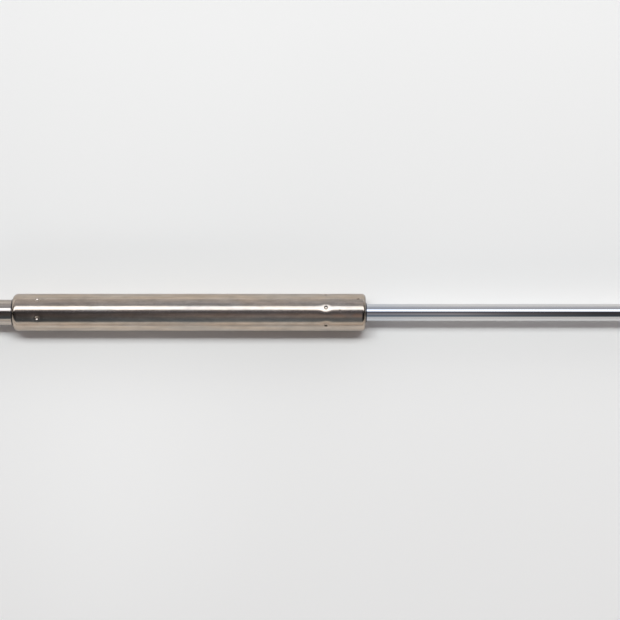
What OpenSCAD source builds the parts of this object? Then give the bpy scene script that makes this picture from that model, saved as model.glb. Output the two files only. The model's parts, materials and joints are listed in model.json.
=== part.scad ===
// Telescopic hydraulic cylinder, drawn part-way out.
// A hollow stage tube is fixed to the base eye. The barrel slides along it, and the piston rod slides out of
// the barrel's other end. When the cylinder closes, the rod's head goes inside the stage tube.
// Millimetres. The origin is the centre of the base eye, +X runs along the cylinder to the rod eye, +Z is up.

/* [Barrel] */
// Outer diameter of the barrel
barrel_d = 22; // [21.5:0.5:23]
// Length of the barrel over its rolled ends
barrel_len = 206.8; // [200:0.1:230]
// Wall of the barrel
barrel_wall = 1.2; // [1.1:0.1:1.3]
// Corner radius of the rolled end that the stage tube leaves by
stage_roll_r = 3.1; // [2.8:0.1:3.2]
// Corner radius of the rolled end that the rod leaves by
rod_roll_r = 2.2; // [2:0.1:2.4]

/* [Punch marks] */
// Punch marks in each ring
punch_count = 6; // [4:1:8]
// Width of a punch mark at the surface
punch_d = 2.4; // [2:0.1:2.6]
// Depth of a punch mark
punch_depth = 0.6; // [0.4:0.1:0.7]
// Distance of the ring from the stage tube's end of the barrel
stage_punch_x = 15; // [15:0.1:15.8]
// Distance of the ring from the rod's end of the barrel
rod_punch_x = 23.3; // [23:0.1:23.8]
// Turn of the first mark from the top, at the stage tube's end
stage_punch_turn = 42; // [0:1:60]
// Turn of the first mark from the top, at the rod's end
rod_punch_turn = 16; // [0:1:60]

/* [Stage tube and rod] */
// Outer diameter of the stage tube
stage_d = 15; // [14.8:0.1:15.2]
// Outer diameter of the piston rod
rod_d = 10; // [9.8:0.1:10.2]
// Length of stage tube in view between the base head and the barrel
stage_out = 37.2; // [35:0.1:60]
// Length of rod in view between the barrel and the rod's thread
rod_out = 178; // [176:1:190]

/* [Travel] */
// How far the barrel can close towards the base head
stage_close = 34; // [20:1:34]
// How far the barrel can open from here
stage_open = 108; // [90:1:108]
// How far the rod can close into the barrel
rod_close = 162; // [120:1:162]
// How far the rod can open from here
rod_open = 6; // [4:1:12]

/* [Ends] */
// Diameter of the pins that the two eyes take
pin_d = 8; // [7:0.5:8]
// Outer diameter of the eyes
eye_d = 20; // [18:0.5:21]
// Width of the eyes along their pins
eye_w = 12; // [10:0.5:13]
// Core diameter of the port's G 1/8 thread
port_core_d = 8.57; // [8.4:0.01:8.8]

/* [Hidden] */
$fn = 96;
gap = 0.02;        // between pieces that are fixed together
slide_gap = 0.03;  // between pieces that slide or turn
cut = 1;           // how far a cutting shape runs past what it cuts
hex_sides = 6;

// Places along X
head_start = 9.5;
head_end = 40;
socket_x = 26;                            // bottom of the base head's socket
port_x = 18.5;
screw_x = 31;                             // the set screw that locks the stage tube
barrel_x = head_end + stage_out;
barrel_end = barrel_x + barrel_len;
rod_shoulder = barrel_end + rod_out;
rod_eye_x = rod_shoulder + 38;
eye_shank_x = rod_eye_x - 30;             // where the rod eye's shank starts
gland_reach = 27;                         // from the barrel's end to the gland's inner face
gland_x = barrel_end - gland_reach;
gland_len = gland_reach - barrel_wall - 0.05;

// Radii
barrel_r = barrel_d / 2;
bore_r = barrel_r - barrel_wall;          // inside of the barrel
stage_r = stage_d / 2;
stage_bore_r = stage_r - 1.5;
stage_neck_r = stage_r - 0.5;             // turned-down end that carries the piston
rod_r = rod_d / 2;
stage_lip_r = stage_r + 0.4;              // hole in the rolled end round the stage tube
rod_lip_r = rod_r + 1.2;                  // hole in the rolled end round the rod
head_r = 11;
eye_r = eye_d / 2;
pin_r = pin_d / 2;
bush_r = pin_r + 1;
port_r = port_core_d / 2;
passage_r = 3.5;
boss_r = 8;
boss_top = 14;
thread_bottom = 4.5;                      // height where the port's thread ends
pit_floor_r = 0.45;                       // flat bottom of a punch mark
bump_r = 1.1;                             // the bump that a punch mark raises inside the barrel
bump_height = 0.7;

// Stage piston and its stops, on the stage tube's inner end
support_face = 13.85;                     // inner face of the support ring, from the barrel's end
sleeve_x = barrel_x + support_face + stage_open + 0.1;
stage_piston_x = sleeve_x + 11.85;
stage_piston_len = 9;
stage_tube_end = stage_piston_x + stage_piston_len + 2;
stage_groove_x = stage_piston_x + 2;      // groove for the wear ring
stage_groove_len = 5;
stage_groove_r = bore_r - 1.2;

// Rod head, from its stop tube to the end of its thread
stop_end = gland_x - rod_open - 0.05;
stop_len = 10;
rod_piston_len = 10;
rod_seat = stop_end - stop_len;           // shoulder of the rod
rod_piston_x = rod_seat - rod_piston_len;
washer_len = 1;
piston_nut_len = 5;
rod_tail = rod_piston_x - washer_len - piston_nut_len - 1;
rod_piston_r = stage_bore_r - 0.2;
rod_groove_r = stage_bore_r - 1.1;
rod_groove_x = rod_piston_x + 2.5;
rod_groove_len = 5;
spigot_r = 3;

// ---- Shared shapes ----

// Turns an outline of [radius, x] points about the X axis
module turned(points) {
    rotate([0, 90, 0]) rotate_extrude() polygon(points);
}

// A plain ring between two radii, with its outer corners broken by c
module ring(r_in, r_out, x0, x1, c = 0) {
    turned(c == 0
        ? [[r_in, x0], [r_out, x0], [r_out, x1], [r_in, x1]]
        : [[r_in, x0], [r_out - c, x0], [r_out, x0 + c], [r_out, x1 - c], [r_out - c, x1], [r_in, x1]]);
}

// A round bar along X, used mostly as a cutter
module bar(r, x0, x1) {
    translate([x0, 0, 0]) rotate([0, 90, 0]) cylinder(r = r, h = x1 - x0);
}

// An O-ring or wire ring about the X axis
module cord_ring(centre_r, wire_r, x) {
    translate([x, 0, 0]) rotate([0, 90, 0]) rotate_extrude() translate([centre_r, 0]) circle(r = wire_r);
}

// Places a shape drawn along +Z on a radius turned by angle from the top, at x
module on_radius(x, angle) {
    translate([x, 0, 0]) rotate([-angle, 0, 0]) children();
}

// Extrudes a side outline, drawn in X and Z, evenly to both sides
module across(width) {
    rotate([90, 0, 0]) linear_extrude(height = width, center = true) children();
}

// A hexagon nut about the X axis, with both faces chamfered
module hex_nut(across_flats, hole_r, x0, x1) {
    corner_r = across_flats / 2 / cos(30);
    chamfer = 0.6;
    difference() {
        intersection() {
            translate([x0, 0, 0]) rotate([0, 90, 0]) cylinder(r = corner_r, h = x1 - x0, $fn = hex_sides);
            turned([
                [0, x0], [corner_r - chamfer, x0], [corner_r + 0.1, x0 + chamfer],
                [corner_r + 0.1, x1 - chamfer], [corner_r - chamfer, x1], [0, x1]
            ]);
        }
        bar(hole_r, x0 - cut, x1 + cut);
    }
}

// ---- Base end: fixed to the base eye ----

module base_head() color("#a9a7a3") difference() {
    union() {
        turned([
            [0, head_start], [8, head_start], [head_r, head_start + 3],
            [head_r, head_end - 1], [head_r - 1, head_end], [0, head_end]
        ]);
        eye_disc(0);
        across(eye_w) translate([0, -8]) square([head_start + 4, 16]);
        translate([port_x, 0, 0]) cylinder(r = boss_r, h = boss_top - 0.8);
        translate([port_x, 0, boss_top - 0.8]) cylinder(r1 = boss_r, r2 = boss_r - 0.8, h = 0.8);
    }
    rotate([90, 0, 0]) cylinder(r = bush_r, h = eye_w + 2 * cut, center = true);
    stage_socket();
    bar(passage_r, port_x - passage_r - 1, socket_x + cut);
    translate([port_x, 0, 0]) cylinder(r = 2.5, h = thread_bottom + cut);
    translate([port_x, 0, thread_bottom]) cylinder(r = port_r, h = boss_top);
    translate([port_x, 0, boss_top - 0.7]) cylinder(r1 = port_r, r2 = port_r + 1, h = 1);
    on_radius(port_x, -90) {
        cylinder(r = 2.5, h = barrel_r);
        translate([0, 0, 9.8]) cylinder(r = 4.7, h = 5);
    }
    on_radius(screw_x, 90) cylinder(r = 2 + gap, h = 15);
}

// The bore that holds the stage tube, with a groove near its mouth for the O-ring
module stage_socket() {
    bar(stage_r + gap, socket_x, head_end + cut);
    bar(stage_r + 1.7, head_end - 4.2, head_end - 1.8);
    turned([
        [0, head_end - 0.5], [stage_r, head_end - 0.5], [stage_r + 0.6, head_end + 0.1], [0, head_end + 0.1]
    ]);
}

// The round end of an eye, with its edges broken
module eye_disc(x) {
    half = eye_w / 2;
    c = 0.7;
    translate([x, 0, 0]) rotate([90, 0, 0]) rotate_extrude() polygon([
        [0, -half], [eye_r - c, -half], [eye_r, c - half], [eye_r, half - c], [eye_r - c, half], [0, half]
    ]);
}

module eye_bush(x) {
    half = eye_w / 2;
    lead = 0.3;
    translate([x, 0, 0]) rotate([90, 0, 0]) rotate_extrude() polygon([
        [pin_r + lead, -half], [bush_r - gap, -half], [bush_r - gap, half], [pin_r + lead, half],
        [pin_r, half - lead], [pin_r, -half + lead]
    ]);
}

module base_eye_bush() color("#b08d57") eye_bush(0);

module bleed_screw() color("#8f8f92") on_radius(port_x, -90) difference() {
    union() {
        translate([0, 0, 4.2]) cylinder(r = 2.5 - gap, h = 7);
        translate([0, 0, 10.6]) cylinder(r = 4.2, h = 2.4);
        translate([0, 0, 13]) cylinder(r1 = 4.2, r2 = 3.8, h = 0.4);
    }
    translate([0, 0, 11.6]) cylinder(r = 1.44, h = 3, $fn = hex_sides);
}

module bleed_washer() color("#b06a45") on_radius(port_x, -90) difference() {
    translate([0, 0, 9.8]) cylinder(r = 4.4, h = 0.8);
    translate([0, 0, 9]) cylinder(r = 2.6, h = 3);
}

module stage_tube() color("#b5ada3") difference() {
    turned([
        [stage_bore_r, socket_x + 0.1], [stage_r - 0.5, socket_x + 0.1], [stage_r, socket_x + 0.6],
        [stage_r, stage_piston_x], [stage_neck_r, stage_piston_x], [stage_neck_r, stage_tube_end - 0.4],
        [stage_neck_r - 0.3, stage_tube_end], [stage_bore_r + 0.5, stage_tube_end],
        [stage_bore_r, stage_tube_end - 1.5]
    ]);
    cord_ring(stage_neck_r + 0.1, 0.5 + gap, stage_piston_x + stage_piston_len + 0.6);
}

module stage_tube_o_ring() color("#1d1d1f") cord_ring(stage_r + 0.86, 0.82, head_end - 3);

module stage_tube_set_screw() color("#3a3a3c") on_radius(screw_x, 90) difference() {
    translate([0, 0, stage_r + 0.1]) cylinder(r = 2, h = 3);
    translate([0, 0, stage_r + 1.6]) cylinder(r = 1.15, h = 3, $fn = hex_sides);
}

module stage_stop_sleeve() color("#c2bfb8")
    ring(stage_r + gap, stage_r + 1.3, sleeve_x, stage_piston_x - gap, 0.4);

module stage_piston() color("#b08d57") {
    x0 = stage_piston_x;
    x1 = x0 + stage_piston_len;
    r = bore_r - 0.12;
    difference() {
        ring(stage_neck_r + gap, r, x0, x1, 0.6);
        difference() {
            bar(bore_r + cut, stage_groove_x, stage_groove_x + stage_groove_len);
            bar(stage_groove_r, stage_groove_x - cut, x1);
        }
        for (i = [0 : 5])
            on_radius(0, 30 + 60 * i) translate([x0 - cut, 0, stage_neck_r + 0.9])
                rotate([0, 90, 0]) cylinder(r = 0.5, h = stage_piston_len + 2 * cut);
    }
}

module stage_snap_ring() color("#4a4a4d") difference() {
    cord_ring(stage_neck_r + 0.1, 0.5, stage_piston_x + stage_piston_len + 0.6);
    translate([stage_piston_x, -1.5, -12]) cube([20, 3, 10]);
}

// A split guide ring with a slanting cut
module wear_ring(r_in, r_out, x0, len) {
    depth = 2 * (r_out - r_in) + 2;
    difference() {
        ring(r_in, r_out, x0, x0 + len, 0.25);
        translate([x0 + len / 2, 0, -r_out]) rotate([0, 0, 45]) cube([4 * len, 1, depth], center = true);
    }
}

module stage_wear_ring() color("#7a5c3a")
    wear_ring(stage_groove_r + slide_gap, bore_r - slide_gap, stage_groove_x + 0.1, stage_groove_len - 0.2);

// ---- Barrel ----

// Half section of a closed can with the barrel's rolled corners, shrunk by inset
module can_section(inset) {
    r = barrel_r - inset;
    x0 = inset;
    x1 = barrel_len - inset;
    near_r = stage_roll_r - inset;
    far_r = rod_roll_r - inset;
    translate([0, x0 + near_r]) square([r, x1 - far_r - x0 - near_r]);
    translate([0, x0]) square([r - near_r, near_r + cut]);
    translate([r - near_r, x0 + near_r]) circle(r = near_r);
    translate([0, x1 - far_r - cut]) square([r - far_r, far_r + cut]);
    translate([r - far_r, x1 - far_r]) circle(r = far_r);
}

module barrel_section() difference() {
    can_section(0);
    can_section(barrel_wall);
    translate([0, -cut]) square([stage_lip_r, barrel_len / 2]);
    translate([0, barrel_len / 2 - 2 * cut]) square([rod_lip_r, barrel_len]);
    translate([-2 * barrel_r, -cut]) square([2 * barrel_r, barrel_len + 2 * cut]);
}

module punch_ring(x, first) {
    for (i = [0 : punch_count - 1])
        on_radius(x, first - i * 360 / punch_count) children();
}

module punch_bump() translate([0, 0, bore_r - bump_height])
    cylinder(r1 = bump_r / 2, r2 = bump_r, h = bump_height + 0.3);

// A cone that is punch_d wide at the barrel's surface, with a flat bottom
module punch_pit() translate([0, 0, barrel_r - punch_depth])
    cylinder(r1 = pit_floor_r, r2 = punch_d - pit_floor_r, h = 2 * punch_depth);

module barrel_tube() color("#b3a99d") translate([barrel_x, 0, 0]) difference() {
    union() {
        rotate([0, 90, 0]) rotate_extrude() barrel_section();
        punch_ring(stage_punch_x, stage_punch_turn) punch_bump();
        punch_ring(barrel_len - rod_punch_x, rod_punch_turn) punch_bump();
    }
    punch_ring(stage_punch_x, stage_punch_turn) punch_pit();
    punch_ring(barrel_len - rod_punch_x, rod_punch_turn) punch_pit();
}

// ---- Seal pack at the stage tube's end, held between the rolled end and the punch marks ----

module stage_wiper() color("#26262a") translate([barrel_x, 0, 0]) turned([
    [stage_r + 0.2, 3.9], [stage_r + 1.4, 3.9], [stage_r + 1.4, 2.2], [stage_r + 0.75, 1.7],
    [stage_r + 0.34, 1.5], [stage_r + 0.3, -0.4], [stage_r + slide_gap, -0.7], [stage_r + slide_gap, -0.2],
    [stage_r + 0.12, 1.8]
]);

module stage_guide_bush() color("#b08d57") translate([barrel_x, 0, 0]) turned([
    [stage_r + slide_gap, 4], [stage_r + 1.5, 4], [stage_r + 1.5, 2.2], [stage_r + 1.62, 2.1],
    [bore_r - gap, 3.4], [bore_r - gap, 7.8], [stage_r + slide_gap, 7.8]
]);

module stage_seal() color("#2f5d50") translate([barrel_x, 0, 0]) turned([
    [stage_r + slide_gap, 7.85], [bore_r - gap, 7.85], [bore_r - gap, 11.6], [bore_r - 0.45, 11.8],
    [stage_r + 1.35, 9.8], [stage_r + 0.95, 9.8], [stage_r + 0.45, 11.8], [stage_r + slide_gap, 11.6]
]);

module stage_support_ring() color("#9a9a98") translate([barrel_x, 0, 0])
    ring(stage_r + 0.1, bore_r - 0.05, 11.85, support_face, 0.2);

// ---- Gland at the rod's end ----

// All of these are placed from the inner face of the gland
module rod_gland() color("#c4c4c2") translate([gland_x, 0, 0]) {
    len = gland_len;
    r = bore_r - 0.05;
    stake_x = gland_reach - rod_punch_x;
    difference() {
        turned([
            [rod_r + 0.3, 0], [r - 0.5, 0], [r, 0.5],
            [r, len - 1.3], [r - 1.3, len], [rod_r + 0.3, len]
        ]);
        turned([
            [r + 1, stake_x - 2.4], [r, stake_x - 1.7], [r - 1.05, stake_x - 0.9],
            [r - 1.05, stake_x + 0.9], [r, stake_x + 1.7], [r + 1, stake_x + 2.4]
        ]);
        difference() {
            bar(r + 1, 14, 16.4);
            bar(r - 1.3, 13, 17);
        }
        bar(rod_r + 2.6, 6.5, 11.2);
        bar(rod_r + 1, 12.2, 22.4);
        bar(rod_r + 2.4, 22.4, 30);
    }
}

module rod_gland_o_ring() color("#1d1d1f") cord_ring(bore_r - 0.69, 0.65, gland_x + 15.2);

module rod_guide_bush() color("#a5783f") translate([gland_x, 0, 0]) turned([
    [rod_r + slide_gap, 12.4], [rod_r + 0.98, 12.4], [rod_r + 0.98, 22.42], [rod_r + 2.3, 22.42],
    [rod_r + 2.3, 23], [rod_r + slide_gap, 23]
]);

module rod_seal() color("#2f5d50") translate([gland_x, 0, 0]) turned([
    [rod_r + slide_gap, 10], [rod_r + 2.56, 10], [rod_r + 2.56, 6.9], [rod_r + 2.1, 6.55], [rod_r + 1.5, 8.4],
    [rod_r + 1.1, 8.4], [rod_r + 0.5, 6.55], [rod_r + slide_gap, 6.9]
]);

module rod_backup_ring() color("#d8d4c8") translate([gland_x, 0, 0])
    ring(rod_r + slide_gap, rod_r + 2.55, 10.05, 11.15);

module rod_wiper() color("#26262a") translate([gland_x, 0, 0]) turned([
    [rod_r + 0.4, 23.05], [rod_r + 2.36, 23.05], [rod_r + 2.36, gland_len - 0.05],
    [rod_r + 1.1, gland_len - 0.05], [rod_r + 0.75, 27.3], [rod_r + 0.3, 27.7],
    [rod_r + slide_gap, 27.5], [rod_r + slide_gap, 27], [rod_r + 0.3, 25.4]
]);

// ---- Rod ----

module rod_wear_ring() color("#7a5c3a")
    wear_ring(rod_groove_r + slide_gap, stage_bore_r - slide_gap, rod_groove_x + 0.1, rod_groove_len - 0.2);

module piston_rod() color("#c9cdd2") {
    thread_r = 3.98;
    flat_x = rod_shoulder - 14;
    difference() {
        turned([
            [0, rod_tail], [spigot_r - 0.5, rod_tail], [spigot_r - gap, rod_tail + 0.5],
            [spigot_r - gap, rod_seat], [rod_r - 0.3, rod_seat], [rod_r, rod_seat + 0.3],
            [rod_r, rod_shoulder - 0.8], [rod_r - 0.8, rod_shoulder], [3.2, rod_shoulder],
            [3.2, rod_shoulder + 1.4], [thread_r, rod_shoulder + 2.2],
            [thread_r, eye_shank_x + 15.2], [thread_r - 0.8, eye_shank_x + 16], [0, eye_shank_x + 16]
        ]);
        for (side = [-1, 1])
            translate([flat_x + 4, side * (4 + rod_r), 0]) cube([8, 2 * rod_r, 3 * rod_r], center = true);
    }
}

module rod_stop_tube() color("#c2bfb8") ring(rod_r + gap, rod_piston_r, rod_seat + gap, stop_end, 0.3);

module rod_piston() color("#b08d57") difference() {
    ring(spigot_r, rod_piston_r, rod_piston_x, rod_seat, 0.4);
    difference() {
        bar(rod_piston_r + cut, rod_groove_x, rod_groove_x + rod_groove_len);
        bar(rod_groove_r, rod_groove_x - cut, rod_seat);
    }
    for (i = [0 : 3])
        on_radius(0, 45 + 90 * i) translate([rod_piston_x - cut, -0.6, rod_groove_r - 0.7])
            cube([rod_piston_len + 2 * cut, 1.2, 4]);
}

module rod_piston_washer() color("#8f8f92")
    ring(spigot_r + 0.1, 5.4, rod_piston_x - washer_len, rod_piston_x - gap);

module rod_piston_nut() color("#8f8f92")
    hex_nut(10, spigot_r, rod_piston_x - washer_len - piston_nut_len, rod_piston_x - washer_len - gap);

module rod_lock_nut() color("#9fa2a6") hex_nut(13, 4, eye_shank_x - 4.02, eye_shank_x - gap);

module rod_eye() color("#a9a7a3") difference() {
    union() {
        turned([[0, eye_shank_x], [6.2, eye_shank_x], [7, eye_shank_x + 0.8], [7, eye_shank_x + 14],
            [5, eye_shank_x + 22], [0, eye_shank_x + 22]]);
        eye_disc(rod_eye_x);
        translate([rod_eye_x, 0, 0]) across(eye_w) polygon([[-16, -6.5], [0, -8.5], [0, 8.5], [-16, 6.5]]);
    }
    translate([rod_eye_x, 0, 0]) rotate([90, 0, 0]) cylinder(r = bush_r, h = eye_w + 2 * cut, center = true);
    bar(4, eye_shank_x - cut, eye_shank_x + 17);
}

module rod_eye_bush() color("#b08d57") eye_bush(rod_eye_x);

// ---- One node at a time, or all of them ----

base_head();
base_eye_bush();
bleed_screw();
bleed_washer();
stage_tube();
stage_tube_o_ring();
stage_tube_set_screw();
stage_stop_sleeve();
stage_piston();
stage_snap_ring();
stage_wear_ring();
barrel_tube();
stage_wiper();
stage_guide_bush();
stage_seal();
stage_support_ring();
rod_gland();
rod_gland_o_ring();
rod_wiper();
rod_guide_bush();
rod_seal();
rod_backup_ring();
rod_wear_ring();
piston_rod();
rod_stop_tube();
rod_piston();
rod_piston_washer();
rod_piston_nut();
rod_lock_nut();
rod_eye();
rod_eye_bush();
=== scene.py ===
"""Looks of the telescopic cylinder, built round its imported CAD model.

Every shape is described in millimetres in the CAD's frame, with X along the cylinder, and MM turns it into
metres. Angles round the cylinder are measured from the top (+Z) towards +Y.
"""
import json
import math

import bpy
import numpy as np
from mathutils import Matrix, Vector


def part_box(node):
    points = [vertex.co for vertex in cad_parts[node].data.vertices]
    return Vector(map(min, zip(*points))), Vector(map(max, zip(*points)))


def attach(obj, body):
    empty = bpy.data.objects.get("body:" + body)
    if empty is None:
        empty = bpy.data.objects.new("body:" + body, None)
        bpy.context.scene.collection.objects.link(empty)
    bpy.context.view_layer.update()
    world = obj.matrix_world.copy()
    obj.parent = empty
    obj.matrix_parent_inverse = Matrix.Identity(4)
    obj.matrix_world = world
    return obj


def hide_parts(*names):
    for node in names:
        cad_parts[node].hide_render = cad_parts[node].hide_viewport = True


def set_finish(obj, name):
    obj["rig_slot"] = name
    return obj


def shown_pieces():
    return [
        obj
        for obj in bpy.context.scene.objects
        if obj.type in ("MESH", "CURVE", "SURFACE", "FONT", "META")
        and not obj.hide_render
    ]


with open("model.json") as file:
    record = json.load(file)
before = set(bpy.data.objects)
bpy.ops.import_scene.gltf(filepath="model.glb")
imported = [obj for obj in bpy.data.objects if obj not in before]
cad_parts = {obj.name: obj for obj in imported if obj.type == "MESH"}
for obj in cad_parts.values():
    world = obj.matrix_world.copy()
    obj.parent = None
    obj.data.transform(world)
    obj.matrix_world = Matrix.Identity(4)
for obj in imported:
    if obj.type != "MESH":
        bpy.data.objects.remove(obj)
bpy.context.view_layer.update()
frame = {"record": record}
MM = 0.001


def span(node):
    """A CAD node's lowest and highest corner in millimetres."""
    lo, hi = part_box(node)
    return np.array(lo) / MM, np.array(hi) / MM


# ---- Places and sizes, read from the CAD ----

BARREL_LO, BARREL_HI = span("barrel_tube")
BARREL_X, BARREL_END = BARREL_LO[0], BARREL_HI[0]
BARREL_R = BARREL_HI[2]
STAGE_LO, STAGE_HI = span("stage_tube")
STAGE_R = STAGE_HI[2]
ROD_LO, ROD_HI = span("piston_rod")
ROD_R = ROD_HI[2]
HEAD_LO, HEAD_HI = span("base_head")
EYE_LO, EYE_HI = span("rod_eye")
NUT_LO, NUT_HI = span("rod_lock_nut")
PISTON_LO, PISTON_HI = span("stage_piston")
ROD_PISTON_HI = span("rod_piston")[1]
BUSH_HI = span("base_eye_bush")[1]
ROD_BUSH_LO, ROD_BUSH_HI = span("rod_eye_bush")
SCREW_LO, SCREW_HI = span("bleed_screw")
SET_LO, SET_HI = span("stage_tube_set_screw")
SLOT_OF = {part["node"]: part["material_slot"] for part in frame["record"]["subparts"]}

EYE_WALL = 5.02  # steel round an eye's bush
EYE_R = BUSH_HI[2] + EYE_WALL
EYE_HALF = BUSH_HI[1]
ROD_EYE_X = (ROD_BUSH_LO[0] + ROD_BUSH_HI[0]) / 2
PORT_X = (SCREW_LO[0] + SCREW_HI[0]) / 2
SET_X = (SET_LO[0] + SET_HI[0]) / 2


# ---- Mesh building ----

def make_object(name, verts, faces, body, slot, replaced=(), normals=None, sharp=35):
    """A smooth piece that rides on a body.

    Edges sharper than sharp degrees stay sharp, unless the normals are given.
    """
    mesh = bpy.data.meshes.new(name)
    mesh.from_pydata((np.asarray(verts, float) * MM).tolist(), [], faces)
    mesh.validate()
    mesh.update()
    mesh.shade_smooth()
    if normals is not None:
        mesh.normals_split_custom_set_from_vertices(np.asarray(normals, float).tolist())
    else:
        mesh.set_sharp_from_angle(angle=math.radians(sharp))
    obj = bpy.data.objects.new(name, mesh)
    bpy.context.scene.collection.objects.link(obj)
    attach(obj, body)
    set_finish(obj, slot)
    if replaced:
        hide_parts(*replaced)


def arc(x, r, radius, start, end, steps):
    """Points on an arc about (x, r). Angles in degrees from +x towards +r."""
    a = np.radians(np.linspace(start, end, steps + 1))
    return np.column_stack([x + radius * np.cos(a), r + radius * np.sin(a)])


def rounded(points, closed=True):
    """Rounds the corners of an outline of (x, r, radius), with an extra point beside each rounding."""
    out = []
    count = len(points)
    for i, (x, r, radius) in enumerate(points):
        here = np.array([x, r], float)
        if radius <= 0 or (not closed and i in (0, count - 1)):
            out.append(here)
            continue
        before = np.array(points[i - 1][:2], float) - here
        after = np.array(points[(i + 1) % count][:2], float) - here
        room = 0.45 * min(np.linalg.norm(before), np.linalg.norm(after))
        u, v = before / np.linalg.norm(before), after / np.linalg.norm(after)
        half = math.acos(max(-1, min(1, float(u @ v)))) / 2
        reach = min(radius / math.tan(half), room)
        radius = reach * math.tan(half)
        centre = here + (u + v) / np.linalg.norm(u + v) * radius / math.sin(half)
        extra = min(0.4 * reach, 0.09 * min(np.linalg.norm(before), np.linalg.norm(after)))
        out.append(here + u * (reach + extra))
        a, b = here + u * reach - centre, here + v * reach - centre
        turn = math.acos(max(-1, min(1, float(a @ b) / radius**2)))
        steps = max(3, int(math.ceil(math.degrees(turn) / 15 * max(1, radius))))
        for k in range(steps + 1):
            t = k / steps
            out.append(centre + (math.sin((1 - t) * turn) * a + math.sin(t * turn) * b) / math.sin(turn))
        out.append(here + v * (reach + extra))
    return np.array(out)


def lathe(outline, angles, closed=True, push=None):
    """Turns an outline about X. A closed one is a ring, an open one starts and ends on the axis.

    push takes each point's x, radius and angle, and returns where the point goes.
    """
    x, r = outline[:, 0], outline[:, 1]
    rr = np.repeat(r[:, None], len(angles), 1)
    xx = np.repeat(x[:, None], len(angles), 1)
    aa = np.repeat(np.asarray(angles)[None, :], len(x), 0)
    yy, zz = rr * np.sin(aa), rr * np.cos(aa)
    if push is not None:
        xx, yy, zz = push(xx, rr, aa)
    verts = np.stack([xx, yy, zz], -1).reshape(-1, 3)
    n, m = len(x), len(angles)
    faces = []
    rows = n if closed else n - 1
    for i in range(rows):
        a, b = i * m, ((i + 1) % n) * m
        if not closed and i == 0:
            faces += [(a, b + j, b + (j + 1) % m) for j in range(m)]
        elif not closed and i == rows - 1:
            faces += [(a + j, b, a + (j + 1) % m) for j in range(m)]
        else:
            faces += [(a + j, b + j, b + (j + 1) % m, a + (j + 1) % m) for j in range(m)]
    if closed:
        return verts, faces
    keep = np.ones(len(verts), bool)
    keep[1:m] = False
    keep[(n - 1) * m + 1 :] = False
    index = np.cumsum(keep) - 1
    return verts[keep], [tuple(int(index[v]) for v in face) for face in faces]


def outward(verts, faces):
    """Turns every face over if the closed surface is inside out."""
    tris = np.array([(f[0], f[k], f[k + 1]) for f in faces for k in range(1, len(f) - 1)])
    a, b, c = verts[tris[:, 0]], verts[tris[:, 1]], verts[tris[:, 2]]
    volume = np.einsum("ij,ij->i", a, np.cross(b, c)).sum() / 6
    return faces if volume > 0 else [tuple(reversed(face)) for face in faces]


def turned(name, points, body, slot, replaced, segments, pin_x=None):
    """A turned ring, about the X axis or about a pin along Y at pin_x."""
    angles = np.linspace(0, 2 * math.pi, segments, endpoint=False)
    verts, faces = lathe(rounded(points), angles)
    if pin_x is not None:
        verts = verts[:, [1, 0, 2]] + np.array([pin_x, 0, 0], float)
    make_object(name, verts, outward(verts, faces), body, slot, replaced)


# ---- Shapes made from distance fields, for the parts that were forged or milled ----

def smooth_max(a, b, k):
    """The larger of two values, blended where they differ by less than k."""
    h = np.clip(0.5 - 0.5 * (b - a) / k, 0, 1)
    return b * (1 - h) + a * h + k * h * (1 - h)


def smooth_min(a, b, k):
    """The smaller of two values, blended where they differ by less than k."""
    return -smooth_max(-a, -b, k)


def disc(radial, along, radius, half, chamfer, k):
    """A round plate: distance from its edge, its faces and its chamfers."""
    shape = smooth_max(radial - radius, np.abs(along) - half, k)
    return smooth_max(shape, (radial + np.abs(along) - radius - half + chamfer) / math.sqrt(2), k)


def cut(body, holes):
    """Takes holes out of a body. Each is a field and how softly its edge is rounded."""
    for hole, k in holes:
        body = smooth_max(body, -hole, k)
    return body


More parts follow.
